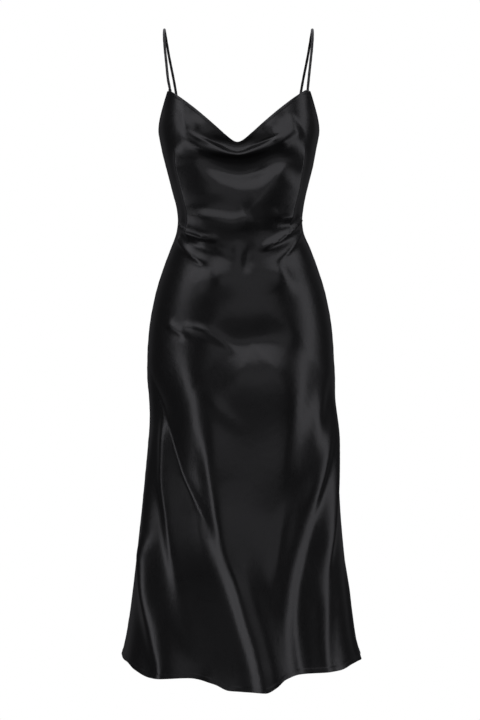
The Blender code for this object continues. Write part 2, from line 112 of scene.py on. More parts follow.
# ------------------------------------------------------------------------------ the body's form
Section = namedtuple("Section", "drop half_width centre front_depth back_depth squareness")
SECTIONS = (
    Section(100, 136.0, -2.0, 104, 80, 3.3),
    Section(140, 141.5, -2.0, 109, 86, 3.1),
    Section(185, 147.2, -2.0, 115, 92, 2.9),
    Section(220, 141.7, -2.0, 115, 93, 3.0),
    Section(257, 133.4, -1.0, 107, 91, 3.0),
    Section(293, 124.2, -1.0, 104, 88, 2.85),
    Section(330, 115.9, 0.0, 104, 86, 2.6),
    Section(349, 114.1, 0.0, 105, 86, 2.5),
    Section(367, 115.9, 0.0, 106, 88, 2.4),
    Section(404, 129.7, 1.0, 109, 95, 2.2),
    Section(441, 143.5, 1.0, 113, 104, 2.0),
    Section(477, 154.6, 1.0, 117.5, 112, 2.0),
    Section(514, 162.8, 1.0, 121, 118, 2.0),
    Section(551, 168.4, 1.0, 123, 122, 2.0),
    Section(588, 171.1, 1.0, 124, 125, 2.0),
    Section(643, 173.0, 2.0, 126, 127, 2.0),
    Section(698, 173.5, 2.0, 128, 129, 2.05),
    Section(772, 176.6, 2.0, 132, 132, 2.2),
    Section(864, 182.2, 1.5, 139, 138, 2.4),
    Section(938, 188.6, 1.0, 146, 144, 2.5),
    Section(1011, 196.0, 1.0, 153, 151, 2.5),
    Section(1085, 205.2, 1.0, 161, 159, 2.5),
    Section(1122, 211.6, 1.5, 166, 164, 2.5),
    Section(1150, 218.5, 2.0, 171, 169, 2.5),
    Section(1190, 226.0, 2.0, 176, 174, 2.5),
)

Hem = namedtuple("Hem", "angle drop")
HEM = (
    Hem(-180, 1165), Hem(-135, 1161), Hem(-90, 1145), Hem(-70, 1146), Hem(-60, 1154),
    Hem(-48, 1163), Hem(-29, 1159), Hem(-15, 1168), Hem(-7, 1178), Hem(4, 1180), Hem(13, 1179),
    Hem(19, 1170), Hem(24, 1158), Hem(31, 1153), Hem(53, 1154), Hem(66, 1147), Hem(90, 1144),
    Hem(135, 1158), Hem(180, 1165),
)

# ------------------------------------------------------------------------------------------ folds
# A fold's crest runs through the places of its path, each an x and a drop. It stands out, or in
# where that is negative, and its crest may hang down, in millimetres. flanks are the widths of its
# upper or right side and of its lower or left one. It fades in over the first part of its length
# and out over the last. Its power is 2 for a round crest, and close to 1 for a sharp one.
FRONT, BACK = 1, -1
Fold = namedtuple("Fold", "path flanks out down fades power face",
                  defaults=(0, (0.4, 0.4), 2.0, FRONT))
BODICE = (
    # cups
    Fold(((-72, 165), (-78, 205), (-72, 250)), (46, 46), 7, 0, (0.6, 0.6)),
    Fold(((72, 165), (76, 205), (70, 250)), (46, 46), 7, 0, (0.6, 0.6)),
    Fold(((56, 224), (84, 207), (112, 190)), (40, 14), 5.5, 0, (0.3, 0.3)),
    # the pocket under the neckline, the roll and the small creases above it
    Fold(((-84, 195), (-62, 208), (-40, 219), (-4, 230), (24, 221), (50, 211), (73, 201)),
         (16, 5), -10, 0, (0.3, 0.45)),
    Fold(((-112, 192), (-90, 213), (-53, 230), (-2, 235), (44, 226), (82, 207), (108, 186)),
         (9, 10), 9, 4, (0.45, 0.5)),
    Fold(((-94, 196), (-66, 214), (-43, 222), (-14, 228)), (3, 3), 2, 0, (0.4, 0.4)),
    Fold(((12, 227), (45, 215), (78, 200)), (2.5, 2.5), -2, 0, (0.4, 0.4)),
    # streaks that fan from the tips into the roll
    Fold(((-104, 146), (-96, 180), (-84, 207)), (8, 8), 1.4, 0, (0.4, 0.4)),
    Fold(((-84, 162), (-68, 192), (-48, 219)), (8, 8), 1.6, 0, (0.4, 0.4)),
    Fold(((84, 158), (68, 186), (52, 208)), (10, 10), -3, 0, (0.4, 0.4)),
    Fold(((58, 178), (44, 198), (28, 222)), (8, 8), 1.6, 0, (0.4, 0.4)),
    # the hollow under the roll and the second drape
    Fold(((-80, 244), (-42, 264), (-2, 272), (38, 264), (74, 242)), (20, 14), -6, 0,
         (0.35, 0.35)),
    Fold(((-108, 240), (-70, 268), (-38, 295), (0, 308), (40, 299), (74, 270), (104, 238)),
         (22, 60), 7, 0, (0.3, 0.3)),
    Fold(((-92, 322), (-50, 309), (-16, 300)), (12, 14), 1.6, 0, (0.4, 0.5)),
    # the third drape, and the long slanting edge that closes it on the left
    Fold(((-102, 344), (-80, 349), (-45, 356), (-10, 362), (12, 358), (26, 348)), (16, 22), 8, 0,
         (0.4, 0.2)),
    Fold(((84, 250), (57, 284), (34, 319), (12, 346), (-8, 368)), (40, 20), 9, 0, (0.25, 0.4), 1.4),
    # the sharp corners where the front turns to the sides, and a small fold at the left one
    Fold(((118, 212), (107, 257), (98, 293), (90, 325), (85, 350), (87, 370)), (8, 34), 11, 0,
         (0.3, 0.15), 1.0),
    Fold(((-120, 212), (-108, 257), (-98, 293), (-90, 322), (-84, 350), (-86, 376), (-94, 396)),
         (34, 8), 14, 0, (0.3, 0.12), 1.0),
    Fold(((56, 330), (70, 349), (100, 345)), (10, 9), 3, 0, (0.4, 0.4)),
)
WAIST = (
    # right side: two creases that fan in from the seam
    Fold(((-113, 358), (-100, 370), (-81, 381), (-61, 388), (-30, 390)), (8, 5.5), 6, 0,
         (0.1, 0.25), 1.6),
    Fold(((-113, 382), (-104, 397), (-92, 411), (-77, 424), (-52, 435)), (10, 5), 5, 0,
         (0.1, 0.3), 1.6),
    # left side
    Fold(((112, 346), (96, 367), (68, 391), (28, 412)), (5, 7.5), 7.5, 0, (0.1, 0.25), 1.6),
    Fold(((112, 370), (100, 392), (82, 414), (56, 434)), (5, 7), 4, 0, (0.1, 0.4), 1.6),
    Fold(((23, 390), (15, 425), (11, 462)), (12, 9), -4, 0, (0.4, 0.5)),
    Fold(((-2, 388), (-5, 425), (-8, 455)), (9, 9), 2, 0, (0.4, 0.5)),
    # where the belly starts to round out on both sides
    Fold(((-44, 408), (-36, 460), (-28, 512)), (34, 34), 8, 0, (0.5, 0.5)),
    Fold(((44, 408), (60, 440), (82, 470), (96, 496)), (22, 32), 8, 0, (0.5, 0.5)),
)
HIPS = (
    # the drag folds over the right hip
    Fold(((-137, 530), (-124, 545), (-106, 557), (-84, 571)), (9, 5), 3, 0, (0.25, 0.4), 1.6),
    Fold(((-112, 543), (-73, 551), (-42, 566), (-16, 585), (10, 600)), (8, 7), 4, 0,
         (0.25, 0.45), 1.6),
    # the hollow across the belly, and the swag under it
    Fold(((-60, 540), (-30, 560), (0, 571), (32, 568), (63, 559), (95, 536)), (30, 26), -9, 0,
         (0.4, 0.4)),
    Fold(((-50, 606), (0, 642), (32, 648), (70, 632), (108, 580)), (50, 70), 11, 0, (0.35, 0.4)),
    # the long ridge from the hip to the hem, and the one that forks from it
    Fold(((-104, 540), (-91, 606), (-80, 650), (-65, 705), (-48, 765), (-38, 830)), (40, 42), 10,
         0, (0.5, 0.35)),
    Fold(((-60, 720), (-48, 814), (-36, 887), (-20, 950), (0, 1005), (15, 1056), (29, 1100),
          (41, 1150), (49, 1200)), (44, 20), 11, 0, (0.2, 0)),
    Fold(((-20, 930), (2, 1005), (16, 1056), (30, 1100), (42, 1150), (50, 1200)), (26, 18), 4.5, 0,
         (0.3, 0)),
    Fold(((-32, 850), (-15, 950), (8, 1040), (30, 1100), (46, 1160), (52, 1200)), (50, 80), 12, 0,
         (0.5, 0)),
    Fold(((-118, 806), (-89, 850), (-65, 890), (-40, 925)), (10, 8), -3.5, 0, (0.4, 0.4)),
    # the ridge down from the left hip, a soft diagonal fold, and one near the left outline
    Fold(((114, 520), (108, 600), (98, 660), (86, 720), (72, 780), (60, 840), (52, 890)), (28, 36),
         5, 0, (0.5, 0.3)),
    Fold(((-62, 662), (-20, 708), (20, 740)), (12, 12), 2, 0, (0.4, 0.5)),
    Fold(((150, 640), (143, 700), (135, 750), (122, 800)), (16, 18), 2.5, 0, (0.4, 0.4)),
    # the deep crease at the right side, and the hollow and ridge at the left hip's outline
    Fold(((-168, 610), (-155, 674), (-140, 725), (-125, 773), (-108, 820), (-88, 870), (-66, 930),
          (-50, 990)), (44, 66), -21, 0, (0.25, 0.4), 1.15),
    Fold(((172, 612), (158, 694), (145, 738)), (30, 16), -3, 0, (0.5, 0.4)),
    Fold(((164, 695), (157, 745), (147, 800), (134, 850), (124, 900)), (12, 22), 7, 0, (0.4, 0.4)),
)
SKIRT = (
    # right side: the ridge along the outline, and two that slant to the centre
    Fold(((-170, 905), (-167, 960), (-163, 1030), (-155, 1090)), (24, 22), 9, 0, (0.3, 0.5)),
    Fold(((-158, 670), (-151, 720), (-147, 770), (-144, 815), (-133, 873), (-117, 960),
          (-98, 1031), (-72, 1087)), (22, 12), 8, 0, (0.2, 0.6), 1.8),
    Fold(((-126, 960), (-106, 1030), (-88, 1080), (-60, 1150)), (24, 18), 2.5, 0, (0.4, 0.4)),
    # left side: the broad ridge, the hollow beside it, a soft fold, and two at the outline
    Fold(((84, 880), (72, 940), (65, 1000), (70, 1060), (78, 1120), (84, 1190)), (36, 80), 7, 0,
         (0.35, 0)),
    Fold(((168, 770), (152, 830), (140, 887), (120, 958), (107, 1020), (102, 1080), (105, 1120),
          (116, 1180)), (90, 16), -6.5, 0, (0.5, 0.1)),
    Fold(((84, 846), (70, 905), (60, 970), (52, 1016)), (10, 10), 2.5, 0, (0.4, 0.4)),
    Fold(((172, 640), (172, 720), (171, 814), (168, 887), (160, 958), (154, 1020)), (14, 28), 10, 0,
         (0.3, 0.3)),
    Fold(((158, 960), (154, 1030), (150, 1103), (152, 1150), (156, 1200)), (18, 30), 5, 0,
         (0.4, 0)),
    # the hem's edge flares up in three places
    Fold(((-214, 1186), (-176, 1186), (-128, 1192)), (30, 10), 9, 0, (0.3, 0.3)),
    Fold(((-84, 1190), (-44, 1200), (-6, 1212)), (32, 10), 9, 0, (0.3, 0.3)),
    Fold(((176, 1180), (214, 1172)), (24, 10), 6, 0, (0.4, 0)),
)
BACK_FOLDS = (
    Fold(((-104, 352), (-70, 376), (-28, 384)), (10, 10), 4, 0, (0.3, 0.7), 2.0, BACK),
    Fold(((-110, 384), (-84, 412), (-44, 430)), (10, 11), 5, 0, (0.3, 0.7), 2.0, BACK),
    Fold(((106, 346), (74, 366), (24, 378)), (10, 10), 5, 0, (0.3, 0.7), 2.0, BACK),
    Fold(((112, 388), (84, 420), (52, 440)), (10, 11), 4, 0, (0.3, 0.7), 2.0, BACK),
    Fold(((138, 520), (70, 566), (-20, 600)), (12, 14), 4, 0, (0.3, 0.7), 2.0, BACK),
    Fold(((-70, 236), (0, 262), (76, 240)), (14, 14), 3, 0, (0.5, 0.5), 2.0, BACK),
)

# A flute's crest runs through places given by their angle and drop, and runs off the hem.
Flute = namedtuple("Flute", "path flanks out fade_in")
FLUTES = (
    Flute(((-78, 680), (-75, 800), (-66.5, 907), (-59.5, 995), (-54.5, 1052), (-48.5, 1103),
           (-41.5, 1157), (-38, 1240)), (40, 20), 12, 0.5),
    Flute(((80, 940), (78, 1040), (74, 1240)), (10, 12), 4.5, 0.3),
    Flute(((95, 1000), (93, 1100), (90, 1240)), (26, 26), 3, 0.8),
    Flute(((-96, 1000), (-94, 1100), (-90, 1240)), (26, 26), 3, 0.8),
    Flute(((122, 740), (124, 950), (127, 1240)), (30, 30), 22, 0.8),
    Flute(((149, 700), (148, 920), (147, 1240)), (26, 26), -12, 0.8),
    Flute(((166, 760), (168, 950), (171, 1240)), (34, 30), 30, 0.85),
    Flute(((-170, 700), (-166, 920), (-160, 1240)), (28, 28), -14, 0.8),
    Flute(((-146, 720), (-142, 940), (-138, 1240)), (30, 34), 28, 0.85),
    Flute(((-118, 760), (-116, 960), (-112, 1240)), (26, 24), -7, 0.8),
)

StrapPoint = namedtuple("StrapPoint", "across depth drop")
STRAP_ROUTE = (
    StrapPoint(127.0, -64, 100), StrapPoint(130.5, -55, 68), StrapPoint(134.0, -41, 36),
    StrapPoint(135.7, -24, 12), StrapPoint(136.0, 0, 0), StrapPoint(134.5, 24, 10),
    StrapPoint(130.0, 44, 38), StrapPoint(121.0, 63, 84), StrapPoint(112.0, 74, 136),
)
STRAP_BACK_ANGLE = 129.0    # where a strap meets the back's top edge


# ------------------------------------------------------------------------------ the cloth's form
def column_of(rows, name):
    """One named column of a table, as an array."""
    return np.array([getattr(row, name) for row in rows], float)


def through_rows(knots, values, at):
    """A smooth curve through a table's rows that never overshoots them: cubic pieces whose slope
    at each row is the harmonic mean of the slopes beside it, and 0 where it turns."""
    step = np.diff(knots)
    rise = np.diff(values) / step
    slope = np.concatenate([rise[:1], np.zeros(len(rise) - 1), rise[-1:]])
    steady = rise[:-1] * rise[1:] > 0
    slope[1:-1][steady] = (2 * rise[:-1] * rise[1:])[steady] / (rise[:-1] + rise[1:])[steady]
    i = np.clip(np.searchsorted(knots, at) - 1, 0, len(step) - 1)
    s = (at - knots[i]) / step[i]
    return ((1 + 2 * s) * (1 - s) ** 2 * values[i] + s * (1 - s) ** 2 * step[i] * slope[i]
            + s * s * (3 - 2 * s) * values[i + 1] - s * s * (1 - s) * step[i] * slope[i + 1])


def section_at(drop):
    """Half width, centre, front and back depth and squareness of the tube at a drop."""
    drops = column_of(SECTIONS, "drop")
    return [through_rows(drops, column_of(SECTIONS, name), drop) for name in Section._fields[1:]]


def tube(angle, drop):
    """The smooth tube, a squarish oval at each drop: its point and its level outward direction."""
    half, centre, front, back, square = section_at(drop)
    depth = np.where(np.abs(angle) <= 90, front, back)
    sine, cosine = np.sin(np.radians(angle)), np.cos(np.radians(angle))
    radius = (np.abs(sine / half) ** square + np.abs(cosine / depth) ** square) ** (-1 / square)
    x, y = radius * sine, -radius * cosine
    out_x = np.sign(x) * np.abs(x / half) ** (square - 1) / half
    out_y = np.sign(y) * np.abs(y / depth) ** (square - 1) / depth
    length = np.hypot(out_x, out_y)
    return x + centre, y, out_x / length, out_y / length, radius


def angle_of(x, drop, face):
    """The angle of the place on the front or back wall that lies x to the right of the middle."""
    half, centre, front, back, square = section_at(drop)
    share = np.clip(np.abs((x - centre) / half), 0, 0.9999)
    depth = (front if face == FRONT else back) * (1 - share ** square) ** (1 / square)
    return np.degrees(np.arctan2(x - centre, depth * face))


def swell(share):
    """A soft start, from 0 to 1: 3s^2 - 2s^3."""
    share = np.clip(share, 0, 1)
    return share * share * (3 - 2 * share)


def smooth_path(places):
    """Even steps along a smooth curve through the places, spaced by the straight lines' lengths."""
    places = np.array(places, float)
    length = np.concatenate([[0], np.cumsum(np.hypot(*np.diff(places, axis=0).T))])
    at = np.linspace(0, length[-1], PATH_STEPS + 1)
    return [through_rows(length, places[:, k], at) for k in (0, 1)]


def fold_profile(angle, drop, radius, path, flanks, fades, power=2.0):
    """How strongly a fold acts: exp(-(d / flank)^power), faded at its ends.

    d is the distance on the unrolled cloth to the nearest of the crest's straight steps. Only the
    points within reach of the fold are worked out.
    """
    path_angle, path_drop = path
    reach_limit = 6 * max(flanks) / power
    acts = (drop > path_drop.min() - reach_limit) & (drop < path_drop.max() + reach_limit)
    scale = np.radians(radius[acts])[:, None]
    turn = (path_angle - angle[acts][:, None] + 180) % 360 - 180
    ax, ay = scale * turn[:, :-1], path_drop[:-1] - drop[acts][:, None]
    sx, sy = scale * np.diff(path_angle), np.diff(path_drop)
    along = np.clip(-(ax * sx + ay * sy) / (sx * sx + sy * sy), 0, 1)
    distance = np.hypot(ax + along * sx, ay + along * sy)
    nearest = np.argmin(distance, axis=-1)
    pick = (np.arange(len(nearest)), nearest)
    lower_side = (sy * ax - sx * ay)[pick] > 0
    share = (nearest + along[pick]) / (len(path_angle) - 1)
    flank = np.where(lower_side, flanks[1], flanks[0])
    start = swell(share / fades[0]) if fades[0] else 1.0
    end = swell((1 - share) / fades[1]) if fades[1] else 1.0
    profile = np.zeros_like(drop)
    profile[acts] = np.exp(-(distance[pick] / flank) ** power) * start * end
    return profile


def cloth(angle, drop):
    """The outer face of the dress, folds and all, in millimetres: the tube's point, moved out
    along its level outward direction and down, by each fold and flute."""
    angle, drop = np.broadcast_arrays(np.asarray(angle, float), np.asarray(drop, float))
    x, y, out_x, out_y, radius = tube(angle, drop)
    out, down = np.zeros_like(x), np.zeros_like(x)
    for fold in BODICE + WAIST + HIPS + SKIRT + BACK_FOLDS:
        path_x, path_drop = smooth_path(fold.path)
        path_angle = np.degrees(np.unwrap(np.radians(angle_of(path_x, path_drop, fold.face))))
        profile = fold_profile(angle, drop, radius, (path_angle, path_drop), fold.flanks,
                               fold.fades, fold.power)
        out += fold.out * profile
        down += fold.down * profile
    for flute in FLUTES:
        profile = fold_profile(angle, drop, radius, smooth_path(flute.path), flute.flanks,
                               (flute.fade_in, 0))
        out += flute.out * profile
    return np.stack([x + out * out_x, y + out * out_y, -drop - down], axis=-1)


def waves(rows, at):
    """A sum of sines: each row has a size, a length and a phase."""
    return sum(size * np.sin(at / length + phase) for size, length, phase in rows)


def unit(vectors):
    """Vectors of length 1."""
    return vectors / np.linalg.norm(vectors, axis=-1, keepdims=True)


def facing(points):
    """The outward direction at each point of a grid, rows down and columns to the right."""
    return unit(np.cross(np.gradient(points, axis=1), -np.gradient(points, axis=0)))


def outward(angle, drop):
    """The outward direction of the cloth at single places."""
    d_angle, d_drop = 0.05, 0.1                 # small steps along and down the cloth
    across = cloth(angle + d_angle, drop) - cloth(angle - d_angle, drop)
    upward = cloth(angle, drop - d_drop) - cloth(angle, drop + d_drop)
    return unit(np.cross(across, upward))


# --------------------------------------------------------------------------- edges of the panels
def neckline(x):
    """Drop of the V at x: two straight sides with a rounded bottom, easing off upwards."""
    away = np.hypot(x - V_CENTRE, V_ROUNDING) - V_ROUNDING
    return V_BOTTOM - V_SLOPE * away + V_EASING * away ** 2


def front_top(angle):
    """Drop of the front's top edge: the V, the two flat tips, and the armholes' edges."""
    tip_outer = TIP_ANGLE + TIP_WIDTH_ANGLE / 2
    turned = np.abs(angle)
    neck = np.full_like(turned, V_BOTTOM)
    for _ in range(V_PASSES):
        neck = neckline(tube(angle, neck)[0])
    share = np.clip((turned - tip_outer) / (90 - tip_outer), 0, 1)
    armhole = TIP_DROP + (UNDERARM_DROP - TIP_DROP) * (1 - (1 - share) ** ARMHOLE_CURVE)
    return np.where(turned < TIP_ANGLE, np.maximum(neck, TIP_DROP), armhole)


def back_top(angle):
    """Drop of the back's top edge, a shallow scoop."""
    return UNDERARM_DROP + BACK_SCOOP * np.sin(np.radians(np.abs(angle) - 90)) ** 2


def roll_line(angle):
    """Drop of the line that the grid's rows follow: the cowl's roll, and a band round the back."""
    turned = np.abs(angle)
    climb = np.sin(np.radians(90 * np.clip(turned / TIP_ANGLE, 0, 1))) ** 2
    roll = ROLL_DROP - ROLL_RISE * climb
    under_arm = UNDERARM_DROP + BAND_DEPTH
    side = swell((turned - TIP_ANGLE) / (90 - TIP_ANGLE))
    return np.where(turned <= 90, roll + (under_arm - roll) * side,
                    under_arm + BACK_SCOOP * np.sin(np.radians(turned - 90)) ** 2)


def hem_drop(angle):
    """Drop of the hem round the dress."""
    turned = (np.asarray(angle) + 180) % 360 - 180
    return through_rows(column_of(HEM, "angle"), column_of(HEM, "drop"), turned)


# ------------------------------------------------------------------------------------ mesh making
def quads(a, b, c, d):
    """Four-cornered faces from the arrays of their corners."""
    return np.stack([a, b, c, d], axis=-1).reshape(-1, 4)


def add_piece(name, points, faces, materials, face_slots=None, uv=None):
    """A finished mesh piece at the origin, from points in millimetres, riding on the root body."""
    mesh = bpy.data.meshes.new(name)
    mesh.from_pydata((points * METRES).tolist(), [], faces)
    if uv is not None:
        layer = mesh.uv_layers.new(name="cloth")
        corner = np.empty(len(mesh.loops), np.int32)
        mesh.loops.foreach_get("vertex_index", corner)
        layer.data.foreach_set("uv", (uv[corner] * METRES).ravel())
    if face_slots is not None:
        mesh.polygons.foreach_set("material_index", face_slots)
    mesh.shade_smooth()
    mesh.set_sharp_from_angle(angle=np.radians(SHARP_ANGLE))
    piece = bpy.data.objects.new(name, mesh)
    for material in materials:
        mesh.materials.append(material)
    bpy.context.scene.collection.objects.link(piece)
    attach(piece, "root")
    return piece


def rim(edge, beside, inner, count=3):
    """Rows that round a cut edge over: a half circle from the outer face's edge to the inner's,
    bulging away from the row beside it."""
    middle, half = (edge + inner) / 2, (edge - inner) / 2
    off = unit(edge - beside) * np.linalg.norm(half, axis=-1, keepdims=True)
    turn = np.linspace(0, np.pi, count + 2)[1:-1, None, None]
    return middle + half * np.cos(turn) + off * np.sin(turn)


def cloth_lengths(points):
    """A flat map: the lengths across the cloth from its middle column, and the heights."""
    across = np.linalg.norm(np.diff(points, axis=1), axis=-1).cumsum(axis=1)
    across = np.concatenate([np.zeros_like(across[:, :1]), across], axis=1)
    across -= across[:, across.shape[1] // 2][:, None]
    return np.stack([across, points[:, :, 2]], axis=-1)


Panel = namedtuple("Panel", "piece outer normal")


def panel(name, columns, top_edge, materials):
    """A cut piece of satin with rounded, turned and stitched edges.

    The rows run from the top edge through the cowl's roll to the hem. The cloth thickens by TURNED
    within its turned edges, and dips a little at its side seams, where the next piece joins it.
    """
    columns = columns[None, :]
    top, hem, roll = top_edge(columns), hem_drop(columns), roll_line(columns)
    column_width = np.maximum(np.radians(np.gradient(columns[0])) * TOP_RADIUS, 1e-6)
    lean = np.minimum(np.hypot(1, np.gradient(top[0]) / column_width), STEEPEST_LEAN)[None, :]
    top_rows = top + np.array(NECK_EDGE_ROWS)[:, None] * lean
    hem_rows = hem - np.array(HEM_EDGE_ROWS)[:, None]
    s = np.linspace(0, 1, NECK_ROWS + 1)[1:, None]
    neck_rows = top_rows[-1:] * (1 - s) + roll * s
    s = np.linspace(0, 1, BODY_ROWS + 1)[1:-1, None]
    share = (1 - ROW_GROWTH) * s + ROW_GROWTH * s * s
    body_rows = roll * (1 - share) + hem_rows[:1] * share
    drop = np.concatenate([top_rows, neck_rows, body_rows, hem_rows])
    angle = np.broadcast_to(columns, drop.shape)

    points = cloth(angle, drop)
    normal = facing(points)
    from_seam = np.radians(np.minimum(angle - columns[0, 0], columns[0, -1] - angle)) * SEAM_RADIUS
    dip = (SEAM_DIP[0] * np.exp(-(from_seam / SEAM_DIP[1]) ** 2)
           + waves(PUCKER_WAVES, drop) * PUCKER_SCALE * np.exp(-(from_seam / PUCKER_REACH) ** 2))
    turned = (swell(1 - ((drop - top) / lean - NECK_TURNING[0]) / NECK_TURNING[1])
              + swell(1 - (hem - drop - HEM_TURNING[0]) / HEM_TURNING[1]))
    outer = points - dip[..., None] * normal + TURNED_OUT * TURNED * turned[..., None] * normal
    inner = points - (dip + CLOTH + (1 - TURNED_OUT) * TURNED * turned)[..., None] * normal

    rows, cols = drop.shape
    top_rim = rim(inner[0], inner[1], outer[0])
    hem_rim = rim(outer[-1], outer[-2], inner[-1])
    loop = np.concatenate([outer, hem_rim, inner[::-1], top_rim])
    index = np.arange(loop.shape[0] * cols).reshape(loop.shape[0], cols)
    after = np.roll(index, -1, axis=0)
    faces = quads(index[:, :-1], after[:, :-1], after[:, 1:], index[:, 1:]).tolist()
    is_inner = np.zeros((loop.shape[0], cols - 1), np.int32)
    is_inner[rows + len(hem_rim):-len(top_rim) - 1] = 1
    slots = is_inner.ravel().tolist()
    face_of, back_of = index[:rows], index[rows + len(hem_rim):][:rows][::-1]
    ends = (quads(face_of[1:, 0], face_of[:-1, 0], back_of[:-1, 0], back_of[1:, 0]).tolist()
            + quads(face_of[:-1, -1], face_of[1:, -1], back_of[1:, -1], back_of[:-1, -1]).tolist())
    hem_end, top_end = index[rows - 1:rows + len(hem_rim) + 1], index[-len(top_rim) - 1:]
    ends += [hem_end[:, 0].tolist()[::-1], hem_end[:, -1].tolist(),
             [index[0, 0], *top_end[:, 0].tolist()[::-1]],
             [index[0, -1], *top_end[:, -1].tolist()]]
    uv = cloth_lengths(points)
    rim_uv = [np.repeat(uv[-1:], len(hem_rim), axis=0), uv[::-1],
              np.repeat(uv[:1], len(top_rim), axis=0)]
    uv = np.concatenate([uv, *rim_uv]).reshape(-1, 2)
    piece = add_piece(name, loop.reshape(-1, 3), faces + ends, materials,
                      slots + [0] * len(ends), uv)
    return Panel(piece, outer, normal)


def front_columns():
    """Angles of the front's columns, closer together at the tips and side seams."""
    tip_inner = TIP_ANGLE - TIP_WIDTH_ANGLE / 2
    tip_outer = TIP_ANGLE + TIP_WIDTH_ANGLE / 2
    seam = 90 - np.array(SEAM_COLUMNS)[::-1]
    right = np.concatenate([np.linspace(0, CORNER_ANGLE, NECK_COLUMNS + 1)[:-1],
                            np.linspace(CORNER_ANGLE, tip_inner, CORNER_COLUMNS + 1)[:-1],
                            np.linspace(tip_inner, tip_outer, TIP_COLUMNS + 1)[:-1],
                            np.linspace(tip_outer, seam[0], ARMHOLE_COLUMNS + 1)[:-1], seam])
    return np.concatenate([-right[:0:-1], right])


def back_columns():
    """Angles of the back's columns, on from the left side seam to the right one."""
    seam = np.array(SEAM_COLUMNS)
    between = np.linspace(90 + seam[-1], 270 - seam[-1], BACK_COLUMNS)[1:-1]
    return np.concatenate([90 + seam, between, 270 - seam[::-1]])


def tube_faces(rows, sides):
    """The outward faces of a tube of so many rings, closed by a pole at each end."""
    index = np.arange(rows * sides).reshape(rows, sides)
    after = np.roll(index, -1, axis=1)
    first, last = rows * sides, rows * sides + 1
    faces = quads(index[:-1], after[:-1], after[1:], index[1:]).tolist()
    faces += [[first, b, a] for a, b in zip(index[0].tolist(), after[0].tolist())]
    faces += [[last, a, b] for a, b in zip(index[-1].tolist(), after[-1].tolist())]
    return faces


def tube_along(name, line, across, half_wide, half_thick, sides, materials):
    """A closed tube: an oval of the given half sizes carried along a line, its wide way along
    across. Its two ends come together in poles."""
    ahead = unit(np.gradient(line, axis=0))
    wide = unit(across - (across * ahead).sum(-1, keepdims=True) * ahead)
    thick = np.cross(ahead, wide)
    turn = np.linspace(0, 2 * np.pi, sides, endpoint=False)[None, :, None]
    rings = (line[:, None] + wide[:, None] * np.cos(turn) * half_wide[:, None, None]
             + thick[:, None] * np.sin(turn) * half_thick[:, None, None])
    points = np.concatenate([rings.reshape(-1, 3), line[:1], line[-1:]])
    around = np.broadcast_to(turn[..., 0] * STRAP_RADIUS, rings.shape[:2])
    length = np.concatenate([[0], np.linalg.norm(np.diff(line, axis=0), axis=-1).cumsum()])
    uv = np.stack([around, np.broadcast_to(length[:, None], rings.shape[:2])], -1).reshape(-1, 2)
    uv = np.concatenate([uv, [[0, 0], [0, length[-1]]]])
    return add_piece(name, points, tube_faces(len(line), sides), materials, uv=uv)


def resample(line, values, step):
    """Places and values at even steps along a line."""
    length = np.concatenate([[0], np.linalg.norm(np.diff(line, axis=0), axis=-1).cumsum()])
    at = np.arange(step / 2, length[-1], step)
    return [np.stack([np.interp(at, length, column) for column in array.T], -1)
            for array in (line, values)]


def stitching(name, line, normal, step, length, thickness, materials):
    """A row of stitches, each a spindle that tapers and sinks into the cloth at its ends."""
    places, up = resample(line, normal, step)
    ahead = unit(np.gradient(places, axis=0))
    up = unit(up)
    side = np.cross(ahead, up)
    share = np.array([-1, -0.8, 0, 0.8, 1])
    width = np.array([0.25, 0.8, 1, 0.8, 0.25]) * thickness / 2
    sag = np.array([-0.7, -0.1, 0.15, -0.1, -0.7]) * thickness / 2
    turn = np.linspace(0, 2 * np.pi, STITCH_SIDES, endpoint=False)
    spot = (places[:, None, None] + ahead[:, None, None] * (share * length / 2)[:, None, None]
            + up[:, None, None] * (sag[:, None] + width[:, None] * np.sin(turn))[..., None]
            + side[:, None, None] * (width[:, None] * np.cos(turn))[..., None])
    index = np.arange(len(share) * STITCH_SIDES).reshape(len(share), STITCH_SIDES)
    after = np.roll(index, -1, axis=1)
    one = quads(index[:-1], index[1:], after[1:], after[:-1])
    base = index.size * np.arange(len(places))[:, None, None]
    faces = (one + base).reshape(-1, 4).tolist()
    faces += (index[0] + base[:, 0]).tolist() + (index[-1][::-1] + base[:, 0]).tolist()
    return add_piece(name, spot.reshape(-1, 3), faces, materials)


# --------------------------------------------------------------------------------------- shaders
class Wire:
    """A shader socket that Python arithmetic works on. Each operation adds its Math node."""

    def __init__(self, tree, socket=None):
        self.tree, self.socket = tree, socket

    def add(self, kind, settings=(), inputs=(), output=0):
        """A new node of a kind: its settings first, then its sockets' values or links."""
        node = self.tree.nodes.new(kind)
        for name, value in dict(settings).items():
            setattr(node, name, value)
        for name, value in dict(inputs).items():
            self.feed(node.inputs[name], value)
        return Wire(self.tree, node.outputs[output])

    def feed(self, socket, value):
        """Links a wire to a socket, or sets the socket's own value."""
        if isinstance(value, Wire):
            self.tree.links.new(value.socket, socket)
        else:
            socket.default_value = value

    def math(self, operation, first, second):
        """A Math node of two values or wires."""
        return self.add("ShaderNodeMath", {"operation": operation}, {0: first, 1: second})

    def __add__(self, other):
        return self.math("ADD", self, other)

    def __radd__(self, other):
        return self.math("ADD", other, self)

    def __mul__(self, other):
        return self.math("MULTIPLY", self, other)


FLOAT_REPEATS = (2600, 170, 1)      # noise cells in a metre, across the floats and along them
BROAD_REPEATS, CREASE_REPEATS, THREAD_REPEATS = 34, 70, 3000
FLOAT_DEPTH, CREASE_DEPTH = 0.00003, 0.001                              # of the bumps, in metres


